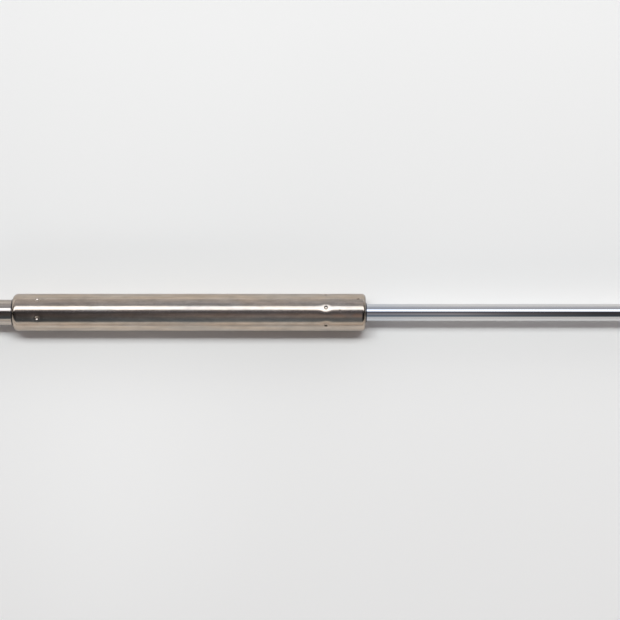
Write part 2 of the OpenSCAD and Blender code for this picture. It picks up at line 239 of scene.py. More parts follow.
def surface_net(field, lo, hi, step):
    """The zero surface of field on a grid, evened out and moved onto the true surface.

    Returns vertices, faces and normals.
    """
    axes = [np.arange(lo[i] - 2 * step, hi[i] + 3 * step, step) for i in range(3)]
    grid = np.meshgrid(*axes, indexing="ij")
    value = field(*grid)
    inside = value < 0
    n = np.array(value.shape) - 1
    corner = [(i, j, k) for i in (0, 1) for j in (0, 1) for k in (0, 1)]
    part = {c: (slice(c[0], c[0] + n[0]), slice(c[1], c[1] + n[1]), slice(c[2], c[2] + n[2])) for c in corner}
    filled = sum(inside[part[c]].astype(np.int8) for c in corner)
    cells = np.argwhere((filled > 0) & (filled < 8))
    place, hits = np.zeros((len(cells), 3)), np.zeros(len(cells))
    for a in corner:
        for axis in range(3):
            if a[axis]:
                continue
            b = tuple(1 if i == axis else a[i] for i in range(3))
            va, vb = (value[tuple((cells + c).T)] for c in (a, b))
            cross = (va < 0) != (vb < 0)
            t = np.where(cross, va / np.where(va == vb, 1, va - vb), 0)
            point = cells + np.array(a, float)
            point[:, axis] += t
            place += np.where(cross[:, None], point, 0)
            hits += cross
    origin = np.array([axes[i][0] for i in range(3)])
    verts = origin + place / hits[:, None] * step
    index = np.full(n, -1)
    index[tuple(cells.T)] = np.arange(len(cells))
    faces = []
    for axis in range(3):
        u, v = (axis + 1) % 3, (axis + 2) % 3
        low = [slice(1, None)] * 3
        low[axis] = slice(0, -1)
        high = list(low)
        high[axis] = slice(1, None)
        low[u] = low[v] = high[u] = high[v] = slice(1, -1)
        change = np.argwhere(inside[tuple(low)] != inside[tuple(high)])
        base = change.copy()
        base[:, u] += 1
        base[:, v] += 1
        start = inside[tuple(base.T)]
        quad = []
        for du, dv in ((-1, -1), (0, -1), (0, 0), (-1, 0)):
            cell = base.copy()
            cell[:, u] += du
            cell[:, v] += dv
            quad.append(index[tuple(cell.T)])
        quad = np.stack(quad, 1)
        quad[~start] = quad[~start][:, ::-1]
        faces.append(quad)
    faces = np.concatenate(faces)
    links = np.concatenate([faces[:, [0, 1]], faces[:, [1, 2]], faces[:, [2, 3]], faces[:, [3, 0]]])
    degree = np.bincount(links.ravel(), minlength=len(verts))[:, None]
    for _ in range(3):
        verts = onto(field, verts, 3)[0]
        total = np.zeros_like(verts)
        for i in range(3):
            total[:, i] = np.bincount(links[:, 0], verts[links[:, 1], i], len(verts))
            total[:, i] += np.bincount(links[:, 1], verts[links[:, 0], i], len(verts))
        verts = 0.5 * verts + 0.5 * total / degree
    verts, normals = onto(field, verts, 4)
    return verts, [tuple(map(int, f)) for f in faces], normals


def onto(field, verts, rounds):
    """Moves points along the field's slope onto its zero surface. Returns them and their normals."""
    small = 0.01
    for _ in range(rounds):
        value = field(*verts.T)
        slope = np.stack(
            [field(*(verts + small * d).T) - field(*(verts - small * d).T) for d in np.eye(3)], 1
        ) / (2 * small)
        size = np.maximum((slope**2).sum(1), 0.05)
        verts = verts - np.clip(value / size, -0.2, 0.2)[:, None] * slope
    return verts, slope / np.maximum(np.linalg.norm(slope, axis=1), 1e-6)[:, None]


def modelled(name, field, lo, hi, step, body, slot, replaced):
    """A piece whose surface is where field is zero."""
    verts, faces, normals = surface_net(field, lo, hi, step)
    make_object(name, verts, faces, body, slot, replaced, normals)


# ---- Barrel ----

WALL = 1.2
ROLL_NEAR, ROLL_FAR = 3.1, 2.2
LIP_NEAR, LIP_FAR = STAGE_R + 0.4, ROD_R + 1.2
RINGS = (
    # x of the ring, turn of its first mark, depth and spread of the dent round each mark, and the size of its
    # floor and rim
    (BARREL_X + 15, 42, 0.10, 1.6, 0.3, 0.035),
    (BARREL_END - 23.3, 16, 0.33, 1.85, 0.45, 0.012),
)
MARKS_ROUND = 6  # punch marks in a ring
MARKS = [(x, math.radians(first - 360 / MARKS_ROUND * i), *rest)
         for x, first, *rest in RINGS for i in range(MARKS_ROUND)]
MARK_R, MARK_DEPTH = 1.22, 0.5
RIM_OUT, RIM_WIDTH = 0.22, 0.2
BUMP_HEIGHT, BUMP_R, BUMP_SLOPE = 0.7, 1.15, 0.7
SMALL_MARKS = (
    # place along X, turn, size along and around, and depth of two small marks that handling left
    (BARREL_END - 4.3, 45, 0.45, 0.35, 0.10),
    (BARREL_END - 15.1, 4, 0.3, 0.8, 0.06),
)


def spread_round(centres, near, fine, coarse):
    """Angles round the circle, close together near the centres and further apart elsewhere."""
    out, a = [], 0.0
    while a < 360 - 1e-6:
        out.append(a)
        gap = min(abs((a + 180 - c) % 360 - 180) for c in centres)
        a += fine if gap < near else coarse
    return np.radians(out)


def turn_from(angle, other):
    """The turn from other to angle, between half a turn back and half a turn on."""
    return (angle - other + math.pi) % (2 * math.pi) - math.pi


def ease(t):
    """Rises from 0 to 1, slowly at both ends."""
    t = np.clip(t, 0, 1)
    return t * t * (3 - 2 * t)


def soft_step(t):
    """Rises from 0 to 1 at an even slope, with rounded ends."""
    edge = 0.22
    t = np.clip(t, 0, 1)
    low = t * t / (2 * edge)
    high = 1 - edge - (1 - t) ** 2 / (2 * edge)
    return np.where(t < edge, low, np.where(t > 1 - edge, high, t - edge / 2)) / (1 - edge)


def barrel_push(x, r, angle):
    """Presses the marks into the tube, and a bump into its bore under each punch mark."""
    outer = r > BARREL_R - 0.01
    straight = (x > BARREL_X + ROLL_NEAR + 0.1) & (x < BARREL_END - ROLL_FAR - 0.1)
    bore = (np.abs(r - (BARREL_R - WALL)) < 0.01) & straight
    move = np.zeros_like(r)
    for mark_x, mark_a, dent, width, floor_r, lift in MARKS:
        far = np.hypot(x - mark_x, r * turn_from(angle, mark_a))
        pit = MARK_DEPTH * soft_step((MARK_R - far) / (MARK_R - floor_r))
        rim = lift * np.exp(-(((far - MARK_R - RIM_OUT) / RIM_WIDTH) ** 2))
        move += np.where(outer, rim - pit - dent * np.exp(-((far / width) ** 2) / 2), 0)
        move -= np.where(bore, BUMP_HEIGHT * ease((BUMP_R - far) / BUMP_SLOPE), 0)
    for mark_x, mark_a, long, wide, deep in SMALL_MARKS:
        off = turn_from(angle, math.radians(mark_a))
        move -= np.where(outer, deep * np.exp(-(((x - mark_x) / long) ** 2) - ((r * off / wide) ** 2)), 0)
    r = r + move
    return x, r * np.sin(angle), r * np.cos(angle)


def barrel():
    """The rolled tube with its punch marks."""
    # Lines round the tube: close together at the marks, further apart beside them, and every 4 mm elsewhere
    spans = [(x, reach, step) for x, *_ in RINGS for reach, step in ((1.7, 0.11), (8, 0.5))]
    spans += [(BARREL_END - back, 0.8, 0.16) for back in (4.2, 15.1)]
    lines = [np.arange(x - reach, x + reach, step) for x, reach, step in spans]
    lines += [np.arange(BARREL_X + ROLL_NEAR + 0.3, BARREL_END - ROLL_FAR - 0.3, 4.0)]
    lines = np.unique(np.round(np.concatenate(lines), 2))
    inside = (lines > BARREL_X + ROLL_NEAR + 0.2) & (lines < BARREL_END - ROLL_FAR - 0.2)
    lines = lines[inside]
    bore = BARREL_R - WALL
    near_x, far_x = BARREL_X + ROLL_NEAR, BARREL_END - ROLL_FAR
    lip = 0.2
    outline = np.concatenate([
        arc(BARREL_X + lip, LIP_NEAR + lip, lip, 270, 180, 4)[:-1],
        arc(near_x, BARREL_R - ROLL_NEAR, ROLL_NEAR, 175, 90, 26),
        np.column_stack([lines, np.full(len(lines), BARREL_R)]),
        arc(far_x, BARREL_R - ROLL_FAR, ROLL_FAR, 90, 0, 20),
        arc(BARREL_END - lip, LIP_FAR + lip, lip, 0, -90, 4),
        arc(BARREL_END - WALL + lip, LIP_FAR + lip, lip, 270, 180, 4),
        arc(far_x, BARREL_R - ROLL_FAR, ROLL_FAR - WALL, 0, 90, 10),
        np.column_stack([lines[::-1], np.full(len(lines), bore)]),
        arc(near_x, BARREL_R - ROLL_NEAR, ROLL_NEAR - WALL, 90, 180, 12)[:-1],
        arc(BARREL_X + WALL - lip, LIP_NEAR + lip, lip, 0, -90, 4),
    ])
    centres = [math.degrees(a) % 360 for _, a, *_ in MARKS]
    near_small_marks = [4, 43]
    angles = spread_round(centres + near_small_marks, 7.5, 0.6, 2.4)
    verts, faces = lathe(outline, angles, push=barrel_push)
    make_object("barrel_shell", verts, outward(verts, faces), "barrel", "barrel_steel", ["barrel_tube"])


# ---- Stage tube, rod and their wipers ----

def stage_tube():
    """The hollow tube between the base head and the stage piston."""
    neck = STAGE_R - 0.5
    bore = STAGE_R - 1.5
    groove = PISTON_HI[0] + 0.6  # for the snap ring
    points = [
        (STAGE_LO[0], bore, 0.1), (STAGE_LO[0], neck, 0.1), (STAGE_LO[0] + 0.5, STAGE_R, 0.2),
        (PISTON_LO[0], STAGE_R, 0.1), (PISTON_LO[0], neck, 0), (groove - 0.5, neck, 0),
        (groove - 0.35, neck - 0.35, 0), (groove + 0.35, neck - 0.35, 0), (groove + 0.5, neck, 0),
        (STAGE_HI[0] - 0.4, neck, 0.1), (STAGE_HI[0], neck - 0.3, 0.1), (STAGE_HI[0], bore + 0.5, 0.1),
        (STAGE_HI[0] - 1.5, bore, 0.1),
    ]
    turned("stage_tube_shell", points, "base", "stage_steel", ["stage_tube"], 180)


THREAD_PITCH, THREAD_R, THREAD_DEPTH = 1.25, 3.98, 0.72
FLAT_HALF, FLAT_LEN = 4.0, 8.0
SHOULDER = NUT_HI[0] - 8
FLAT_X = SHOULDER - 14
THREAD_X = SHOULDER + 2.2


def thread_height(along, angle, pitch):
    """0 at a thread's root and 1 at its crest."""
    phase = (along / pitch - angle / (2 * math.pi)) % 1
    return np.clip((0.5 - np.abs(phase - 0.5)) * 2.75 - 0.3, 0, 1)


def rod_push(x, r, angle):
    """Cuts the rod's thread and its two spanner flats."""
    on_thread = (x > THREAD_X - 0.9) & (np.abs(r - THREAD_R) < 0.001)
    fade = ease((x - THREAD_X) / 1.2)
    cut = THREAD_DEPTH * (1 - thread_height(x, angle, THREAD_PITCH)) * fade
    r = np.where(on_thread, r - cut, r)
    y, z = r * np.sin(angle), r * np.cos(angle)
    flat = (x > FLAT_X - 0.005) & (x < FLAT_X + FLAT_LEN + 0.005)
    return x, np.where(flat, np.clip(y, -FLAT_HALF, FLAT_HALF), y), z


def piston_rod():
    """The rod, from the spigot that carries its piston to the thread that carries its eye."""
    spigot, relief = 2.98, 3.2
    seat = ROD_PISTON_HI[0]
    tip = ROD_HI[0]
    body = rounded([
        (ROD_LO[0], 0, 0), (ROD_LO[0], spigot - 0.5, 0.1), (ROD_LO[0] + 0.5, spigot, 0.1), (seat, spigot, 0),
        (seat, ROD_R - 0.3, 0.1), (seat + 0.3, ROD_R, 0.1), (seat + 20, ROD_R, 0),
        *[(FLAT_X + step, ROD_R, 0) for step in (-0.3, -0.02, 0, 0.3)],
        *[(FLAT_X + FLAT_LEN + step, ROD_R, 0) for step in (-0.3, 0, 0.02, 0.3)],
        (SHOULDER - 0.8, ROD_R, 0.25), (SHOULDER, ROD_R - 0.8, 0.15),
        (SHOULDER, relief, 0.3), (SHOULDER + 1.4, relief, 0.2), (THREAD_X, THREAD_R, 0.0),
    ], closed=False)
    turns = np.arange(THREAD_X + 0.1, tip - 0.85, THREAD_PITCH / 14)
    end = rounded([(tip - 0.8, THREAD_R, 0), (tip, THREAD_R - 0.8, 0.1), (tip, 0, 0)], closed=False)
    outline = np.concatenate([body, np.column_stack([turns, np.full(len(turns), THREAD_R)]), end])
    corner = math.degrees(math.asin(FLAT_HALF / ROD_R))
    angles = np.unique(np.round(np.concatenate([
        np.arange(0, 360, 2.5), [corner, 180 - corner, 180 + corner, 360 - corner],
    ]), 4))
    verts, faces = lathe(outline, np.radians(angles), False, rod_push)
    make_object("rod_shaft", verts, outward(verts, faces), "rod", "rod_chrome", ["piston_rod"], sharp=28)


def wipers():
    """The two rubber lips that keep dirt out of the barrel's ends."""
    # Each point is a place along X, a distance from the stage tube or the rod, and a rounding
    turned("stage_wiper_lip", [(BARREL_X + x, STAGE_R + out, rounding) for x, out, rounding in (
        (3.9, 0.22, 0.1), (3.9, 1.4, 0.1), (2.2, 1.4, 0.1), (1.6, 0.7, 0.1), (1.3, 0.34, 0.1),
        (-0.4, 0.32, 0.12), (-0.7, 0.06, 0.06), (-0.3, 0.03, 0.04), (1.8, 0.12, 0.2),
    )], "barrel", "seal_rubber", ["stage_wiper"], 160)
    gland_x = BARREL_END - 27
    turned("rod_wiper_lip", [(gland_x + x, ROD_R + out, rounding) for x, out, rounding in (
        (23.05, 0.4, 0.1), (23.05, 2.36, 0.1), (25.7, 2.36, 0.1), (25.7, 1.12, 0.1), (27.25, 0.8, 0.12),
        (27.7, 0.34, 0.1), (27.55, 0.05, 0.05), (27, 0.04, 0.1), (25.4, 0.3, 0.2),
    )], "barrel", "seal_rubber", ["rod_wiper"], 144)


# ---- Base end ----

EYE_CHAMFER = 0.7
HEAD_START, SOCKET_X = 9.5, STAGE_LO[0] - 0.1
HEAD_R, HEAD_SMALL_R = 11.0, 8
NECK_HALF, NECK_LEN = 8, 14
BOSS_R, BOSS_HALF, BOSS_TOP = 8.0, 8, HEAD_HI[2]
PASSAGE_R = 2.5
THREAD_FLOOR = 4.5
PORT_PITCH, PORT_CREST_R, PORT_ROOT_R = 0.907, 4.285, 4.86


def head_field(x, y, z):
    """The base head: a turned body, an eye with a neck, and a boss for the port."""
    radial = np.hypot(y, z)
    body = smooth_max(radial - HEAD_R, x - HEAD_HI[0], 0.4)
    body = smooth_max(body, (x - HEAD_HI[0] + radial - HEAD_R + 1) / math.sqrt(2), 0.4)
    body = smooth_max(body, HEAD_START - x, 0.6)
    body = smooth_max(body, (HEAD_START - x + radial - HEAD_SMALL_R) / math.sqrt(2), 0.8)
    eye = disc(np.hypot(x, z), y, EYE_R, EYE_HALF, EYE_CHAMFER, 0.35)
    neck = smooth_max(np.abs(z) - NECK_HALF, np.abs(y) - EYE_HALF, 0.5)
    neck = smooth_max(neck, np.abs(x - NECK_LEN / 2) - NECK_LEN / 2, 0.5)
    eye = smooth_min(eye, neck, 1.6)
    body = smooth_min(body, eye, 1.8)
    port = np.hypot(x - PORT_X, y)
    boss = disc(port, z - BOSS_TOP + BOSS_HALF, BOSS_R, BOSS_HALF, 0.8, 0.35)
    body = smooth_min(body, boss, 2.0)
    return cut(body, [
        # the eye
        (np.hypot(x, z) - BUSH_HI[2] - 0.02, 0.25),
        # the stage tube's socket, its O-ring's groove and its lead-in
        (smooth_max(radial - STAGE_R - 0.02, SOCKET_X - x, 0.1), 0.15),
        (np.maximum(radial - STAGE_R - 1.7, np.abs(x - HEAD_HI[0] + 3) - 1.2), 0.1),
        (radial - STAGE_R - 0.6 + (HEAD_HI[0] - x), 0.2),
        # the passages along the head and up to the port, the port and its lead-in
        (np.maximum(radial - 3.5, np.maximum(PORT_X - 4.5 - x, x - SOCKET_X - 1)), 0.1),
        (np.maximum(port - PASSAGE_R, -z), 0.1),
        (np.maximum(port - PORT_ROOT_R - 0.06, THREAD_FLOOR - z), 0.1),
        (port - PORT_CREST_R - 1 + (BOSS_TOP - z), 0.15),
        # the bleed screw's hole and its seat, and the set screw's hole
        (np.maximum(np.hypot(x - PORT_X, z) - 2.5, y), 0.1),
        (np.maximum(np.hypot(x - PORT_X, z) - 4.7, y + 9.8), 0.2),
        (np.maximum(np.hypot(x - SET_X, z) - 2.02, -y), 0.2),
    ])


def port_thread():
    """The port's thread form, which lines the head's plain hole."""
    rows = np.arange(THREAD_FLOOR + 0.02, BOSS_TOP - 0.55, PORT_PITCH / 14)
    outer = PORT_ROOT_R + 0.05
    outline = np.concatenate([
        np.column_stack([rows, np.full(len(rows), PORT_CREST_R)]),
        [(rows[-1], outer), (rows[0], outer)],
    ])

    def push(x, r, angle):
        """Cuts the thread into the ring's inside. Here x is the place along the port."""
        crest = thread_height(x, angle, PORT_PITCH)
        fade = ease((BOSS_TOP - 0.6 - x) / 0.5) * ease((x - THREAD_FLOOR) / 0.4)
        out = (PORT_ROOT_R - PORT_CREST_R) * (1 - crest * fade)
        r = np.where(r < PORT_CREST_R + 0.001, r + out, r)
        return x, r * np.sin(angle), r * np.cos(angle)

    angles = np.linspace(0, 2 * math.pi, 120, endpoint=False)
    verts, faces = lathe(outline, angles, push=push)
    verts = verts[:, [1, 2, 0]] + np.array([PORT_X, 0, 0])
    make_object("port_thread", verts, outward(verts, faces), "base", "fitting_steel")


def hex_distance(u, v, across):
    """Distance from a hexagon with flats on +u and -u."""
    d = np.abs(u)
    for a in (60, 120):
        c, s = math.cos(math.radians(a)), math.sin(math.radians(a))
        d = np.maximum(d, np.abs(u * c + v * s))
    return d - across / 2


def bleed_field(x, y, z):
    """The bleed screw: a head with a hexagon socket, y = -13.4 to -10.6, and a shank to y = -4.2."""
    radial = np.hypot(x - PORT_X, z)
    head = disc(radial, y + 12, 4.2, 1.4, 0.35, 0.15)
    shank = np.maximum(radial - 2.48, np.abs(y + 7.7) - 3.5)
    body = smooth_min(head, shank, 0.2)
    socket = np.maximum(hex_distance(x - PORT_X, z, 2.5), y + 11.6)
    body = smooth_max(body, -socket, 0.08)
    return smooth_max(body, -(radial - 1.55 + (y + 13.4)), 0.08)


def set_screw_field(x, y, z):
    """The screw that holds the stage tube in the head."""
    radial = np.hypot(x - SET_X, z)
    body = disc(radial, y - (SET_LO[1] + SET_HI[1]) / 2, 2.0, (SET_HI[1] - SET_LO[1]) / 2, 0.2, 0.12)
    socket = np.maximum(hex_distance(x - SET_X, z, 2.0), SET_HI[1] - 1.5 - y)
    return smooth_max(body, -socket, 0.08)


def base_end():
    """The base head, its port's thread, its screws and the washer."""
    modelled("base_head_body", head_field, HEAD_LO, HEAD_HI, 0.3, "base", "fitting_steel", ["base_head"])
    port_thread()
    modelled("bleed_screw_body", bleed_field, (PORT_X - 4.3, -13.5, -4.3), (PORT_X + 4.3, -4, 4.3), 0.12,
             "base", "fastener_steel", ["bleed_screw"])
    modelled("set_screw_body", set_screw_field, SET_LO, SET_HI, 0.09, "base", "black_steel",
             ["stage_tube_set_screw"])
    turned("bleed_washer_ring", [
        (-10.6, 2.6, 0.1), (-9.8, 2.6, 0.1), (-9.8, 4.4, 0.2), (-10.6, 4.4, 0.2),
    ], "base", "copper", ["bleed_washer"], 96, PORT_X)


# ---- Rod end ----

SHANK_X = EYE_LO[0]
SHANK_R, SHANK_LEN, SHANK_STRAIGHT, SHANK_CONE = 7, 22, 14, 0.25
SOCKET_R, SOCKET_DEPTH = 4, 17
NUT_ACROSS, NUT_BEVEL_R = 13, 6.35


def rod_eye_field(x, y, z):
    """The rod's eye: a shank that narrows towards it, and a tapered neck."""
    radial = np.hypot(y, z)
    shank = smooth_max(radial - SHANK_R, SHANK_X - x, 0.4)
    shank = smooth_max(shank, (SHANK_X - x + radial - SHANK_R + 0.8) / math.sqrt(2), 0.4)
    cone = radial - SHANK_R + (x - SHANK_X - SHANK_STRAIGHT) * SHANK_CONE
    shank = smooth_max(shank, cone / math.hypot(1, SHANK_CONE), 0.8)
    shank = smooth_max(shank, x - SHANK_X - SHANK_LEN, 0.5)
    eye = disc(np.hypot(x - ROD_EYE_X, z), y, EYE_R, EYE_HALF, EYE_CHAMFER, 0.35)
    taper = 0.125
    neck = (np.abs(z) - 8.5 - (x - ROD_EYE_X) * taper) / math.hypot(1, taper)
    neck = smooth_max(neck, np.abs(y) - EYE_HALF, 0.5)
    neck = smooth_max(neck, np.abs(x - ROD_EYE_X + 8) - 8, 0.5)
    body = smooth_min(smooth_min(eye, neck, 1.6), shank, 1.6)
    return cut(body, [
        (np.hypot(x - ROD_EYE_X, z) - BUSH_HI[2] - 0.02, 0.25),
        (np.maximum(radial - SOCKET_R, x - SHANK_X - SOCKET_DEPTH), 0.1),
        (radial - SOCKET_R - 0.6 + (x - SHANK_X), 0.15),
    ])


def nut_field(x, y, z):
    """The lock nut: a hexagon with bevelled corners and a plain bore."""
    radial = np.hypot(y, z)
    middle, half = (NUT_LO[0] + NUT_HI[0]) / 2, (NUT_HI[0] - NUT_LO[0]) / 2
    along = np.abs(x - middle)
    body = smooth_max(hex_distance(z, y, NUT_ACROSS), along - half, 0.12)
    body = smooth_max(body, (radial - NUT_BEVEL_R) * 0.5 + (along - half) * 0.866, 0.1)
    body = smooth_max(body, SOCKET_R - radial, 0.1)
    return smooth_max(body, -(radial - SOCKET_R - 0.45 + half - along), 0.1)


def eye_bush(name, x, body, replaced):
    """A bronze bush for an eye whose pin is at x."""
    r, half = BUSH_HI[2], EYE_HALF
    turned(name, [
        (-half, r - 0.68, 0.06), (-half, r, 0.1), (half, r, 0.1), (half, r - 0.68, 0.06),
        (half - 0.3, r - 0.98, 0.1), (0.3 - half, r - 0.98, 0.1),
    ], body, "bearing_bronze", [replaced], 120, x)


def rod_end():
    """The rod's eye and its lock nut."""
    modelled("rod_eye_body", rod_eye_field, EYE_LO, EYE_HI, 0.3, "rod", "fitting_steel", ["rod_eye"])
    modelled("lock_nut_body", nut_field, NUT_LO, NUT_HI, 0.13, "rod", "fastener_steel", ["rod_lock_nut"])


barrel()
stage_tube()
piston_rod()
wipers()
base_end()
rod_end()
eye_bush("base_bush_sleeve", 0, "base", "base_eye_bush")
eye_bush("rod_bush_sleeve", ROD_EYE_X, "rod", "rod_eye_bush")


# ---- Materials ----

def put(tree, kind, sockets=None, **settings):
    """Adds a node. A socket's value is a number or another node's output."""
    node = tree.nodes.new(kind)
    for key, value in settings.items():
        setattr(node, key, value)
    for key, value in (sockets or {}).items():
        if isinstance(value, bpy.types.NodeSocket):
            tree.links.new(value, node.inputs[key])
        else:
            node.inputs[key].default_value = value
    return node


def calc(tree, op, a, b=0.0):
    """Arithmetic on values."""
    return put(tree, "ShaderNodeMath", {0: a, 1: b}, operation=op).outputs[0]


def product(tree, value, *others):
    """All the values multiplied."""
    for other in others:
        value = calc(tree, "MULTIPLY", value, other)
    return value


def length(tree, u, v):
    """The length of a vector with components u and v."""
    return calc(tree, "SQRT", calc(tree, "ADD", product(tree, u, u), product(tree, v, v)))


def split(tree, vector):
    """A vector's X, Y and Z."""
    return put(tree, "ShaderNodeSeparateXYZ", {0: vector}).outputs


def grey_of(tree, value):
    """The grey with this value."""
    return put(tree, "ShaderNodeCombineColor", {0: value, 1: value, 2: value}).outputs[0]


def noise(tree, place, scale, detail, rough):
    """Noise between 0 and 1 over a place whose three directions are scaled, in cycles per metre."""
    moved = put(tree, "ShaderNodeMapping", {"Vector": place, "Scale": scale})
    made = put(tree, "ShaderNodeTexNoise", {
        "Vector": moved.outputs[0], "Scale": 1.0, "Detail": detail, "Roughness": rough,
    })
    return made.outputs["Fac"]


def stretch(tree, value, low, high, to_low=0.0, to_high=1.0):
    """Maps the range from low to high onto another, and stays within that one."""
    node = put(tree, "ShaderNodeMapRange", {
        "Value": value, "From Min": low, "From Max": high, "To Min": to_low, "To Max": to_high,
    })
    return node.outputs[0]


def between(tree, value, rise, full, fade, gone):
    """1 from full to fade, and 0 before rise and after gone."""
    return product(tree, stretch(tree, value, rise, full), stretch(tree, value, gone, fade))


def ramp_of(tree, value, low, high, stops):
    """A colour ramp over a value between low and high. Each stop is a place and its colour or grey."""
    node = put(tree, "ShaderNodeValToRGB", {0: stretch(tree, value, low, high)})
    for i, (place, *colour) in enumerate(stops):
        spot = (place - low) / (high - low)
        element = node.color_ramp.elements[i] if i < 2 else node.color_ramp.elements.new(spot)
        element.position = spot
        element.color = (*colour, 1) if len(colour) == 3 else (*colour, *colour, *colour, 1)
    return node.outputs[0]


def mix_colour(tree, share, a, b, blend="MIX"):
    """Colour a with a share of colour b. Each is an output or three numbers."""
    node = put(tree, "ShaderNodeMix", {0: share}, data_type="RGBA", blend_type=blend)
    for index, value in ((6, a), (7, b)):
        if isinstance(value, bpy.types.NodeSocket):
            tree.links.new(value, node.inputs[index])
        else:
            node.inputs[index].default_value = (*value, 1)
    return node.outputs[2]


def tinted(tree, colour, by):
    """One colour multiplied by another."""
    return mix_colour(tree, 1.0, colour, by, "MULTIPLY")


def new_material(name):
    """A material, its tree and shader, and the place and the normal in the piece's own axes."""
    material = bpy.data.materials.new(name)
    material.use_nodes = True
    tree = material.node_tree
    tree.nodes.clear()
    shader = put(tree, "ShaderNodeBsdfPrincipled")
    out = put(tree, "ShaderNodeOutputMaterial")
    tree.links.new(shader.outputs[0], out.inputs[0])
    place = put(tree, "ShaderNodeTexCoord")
    return material, tree, shader, place.outputs["Object"], place.outputs["Normal"]


def finish_shader(tree, shader, colour, rough, bump, depth, metallic=1.0):
    """Gives the shader its colour, its roughness and a fine relief of a depth in metres."""
    relief = put(tree, "ShaderNodeBump", {"Height": bump, "Strength": 1.0, "Distance": depth}).outputs[0]
    for key, value in (("Base Color", colour), ("Roughness", rough), ("Normal", relief)):
        tree.links.new(value, shader.inputs[key])
    shader.inputs["Metallic"].default_value = metallic


def drawn_tube(name, warm, grey, rough, tone_along_x=None, lips=None, stains=()):
    """Bright drawn tube: broad warm and grey patches, and fine lines along X.

    tone_along_x lists places along X with a brightness that multiplies the colour. lips are the tube's two
    ends, whose rims are darkened, partly by grime and partly by painted shade.
    A stain is a place along X, a turn from the top, a size along and around, a strength and a colour.
    """
    material, tree, shader, place, _ = new_material(name)
    x = split(tree, place)[0]
    patches = noise(tree, place, (26, 170, 170), 5, 0.62)
    blots = noise(tree, place, (120, 330, 330), 4, 0.6)
    bands = noise(tree, place, (9, 420, 420), 3, 0.6)
    lines = noise(tree, place, (60, 2600, 2600), 4, 0.65)
    colour = mix_colour(tree, stretch(tree, patches, 0.38, 0.62), warm, grey)
    shade = product(
        tree,
        stretch(tree, bands, 0.3, 0.7, 0.85, 1.12),
        stretch(tree, lines, 0.3, 0.7, 0.93, 1.07),
        stretch(tree, blots, 0.3, 0.66, 0.84, 1.07),
    )
    colour = tinted(tree, colour, grey_of(tree, shade))
    roughness = calc(tree, "ADD", stretch(tree, lines, 0.3, 0.7, rough * 0.8, rough * 1.25),
                     stretch(tree, patches, 0.45, 0.7, 0.0, rough * 0.35))
    # The colour is multiplied by a brightness that changes along X.
    if tone_along_x:
        tone_by_x = ramp_of(tree, x, tone_along_x[0][0] * MM, tone_along_x[-1][0] * MM, [(at * MM, tone) for at, tone in tone_along_x])
        colour = tinted(tree, colour, tone_by_x)
    # Both rims are darkened towards a dark brown: partly grime, partly painted shade for the dark rod and
    # shadow that the rolled lips reflect.
    if lips:
        near = stretch(tree, x, (lips[0] + 1.1) * MM, (lips[0] + 0.4) * MM)
        far = stretch(tree, x, (lips[1] - 1.1) * MM, (lips[1] - 0.4) * MM)
        grime_and_painted_shade = calc(tree, "MAXIMUM", near, far)
        colour = mix_colour(tree, product(tree, grime_and_painted_shade, 0.5), colour, (0.16, 0.145, 0.13))
        roughness = calc(tree, "ADD", roughness, product(tree, grime_and_painted_shade, 0.08))
    for at, turn, long, wide, strength, stain in stains:
        a = math.radians(turn)
        spot = (at * MM, BARREL_R * MM * math.sin(a), BARREL_R * MM * math.cos(a))
        moved = put(tree, "ShaderNodeVectorMath", {0: place, 1: spot}, operation="SUBTRACT").outputs[0]
        size = (1 / (long * MM), 1 / (wide * MM), 1 / (wide * MM))
        moved = put(tree, "ShaderNodeVectorMath", {0: moved, 1: size}, operation="MULTIPLY").outputs[0]
        far = put(tree, "ShaderNodeVectorMath", {0: moved}, operation="LENGTH").outputs["Value"]
        far = calc(tree, "ADD", far, stretch(tree, blots, 0.3, 0.7, -0.35, 0.35))
        colour = mix_colour(tree, stretch(tree, far, 0.45, 1.1, strength, 0.0), colour, stain)
    finish_shader(tree, shader, colour, roughness, lines, 0.0000025)
    shader.inputs["Specular Tint"].default_value = (0.74, 0.74, 0.76, 1)
    return material


def chrome(name):
    """Ground and plated rod: almost a mirror, with faint marks round it, bluish film patches, and painted
    shade that makes it darker and bluer by the gland.
    """
    material, tree, shader, place, _ = new_material(name)
    film = noise(tree, place, (14, 90, 90), 3, 0.55)
    rings = noise(tree, place, (1700, 60, 60), 3, 0.6)
    # Painted shade: the colour turns darker and bluer towards the gland, standing in for the dark reflections
    # there; the film's patches mix in the same colour elsewhere.
    film_and_painted_shade = stretch(tree, split(tree, place)[0], (BARREL_END + 8) * MM, (BARREL_END + 55) * MM, 0.9, 0.0)
    film_and_painted_shade = calc(tree, "MAXIMUM", film_and_painted_shade, stretch(tree, film, 0.42, 0.7, 0.0, 0.6))
    colour = mix_colour(tree, film_and_painted_shade, (0.71, 0.70, 0.69), (0.605, 0.635, 0.675))
    roughness = calc(tree, "ADD", stretch(tree, rings, 0.3, 0.7, 0.035, 0.065),
                     stretch(tree, film, 0.5, 0.75, 0.0, 0.03))
    finish_shader(tree, shader, colour, roughness, rings, 0.0000006)
    return material


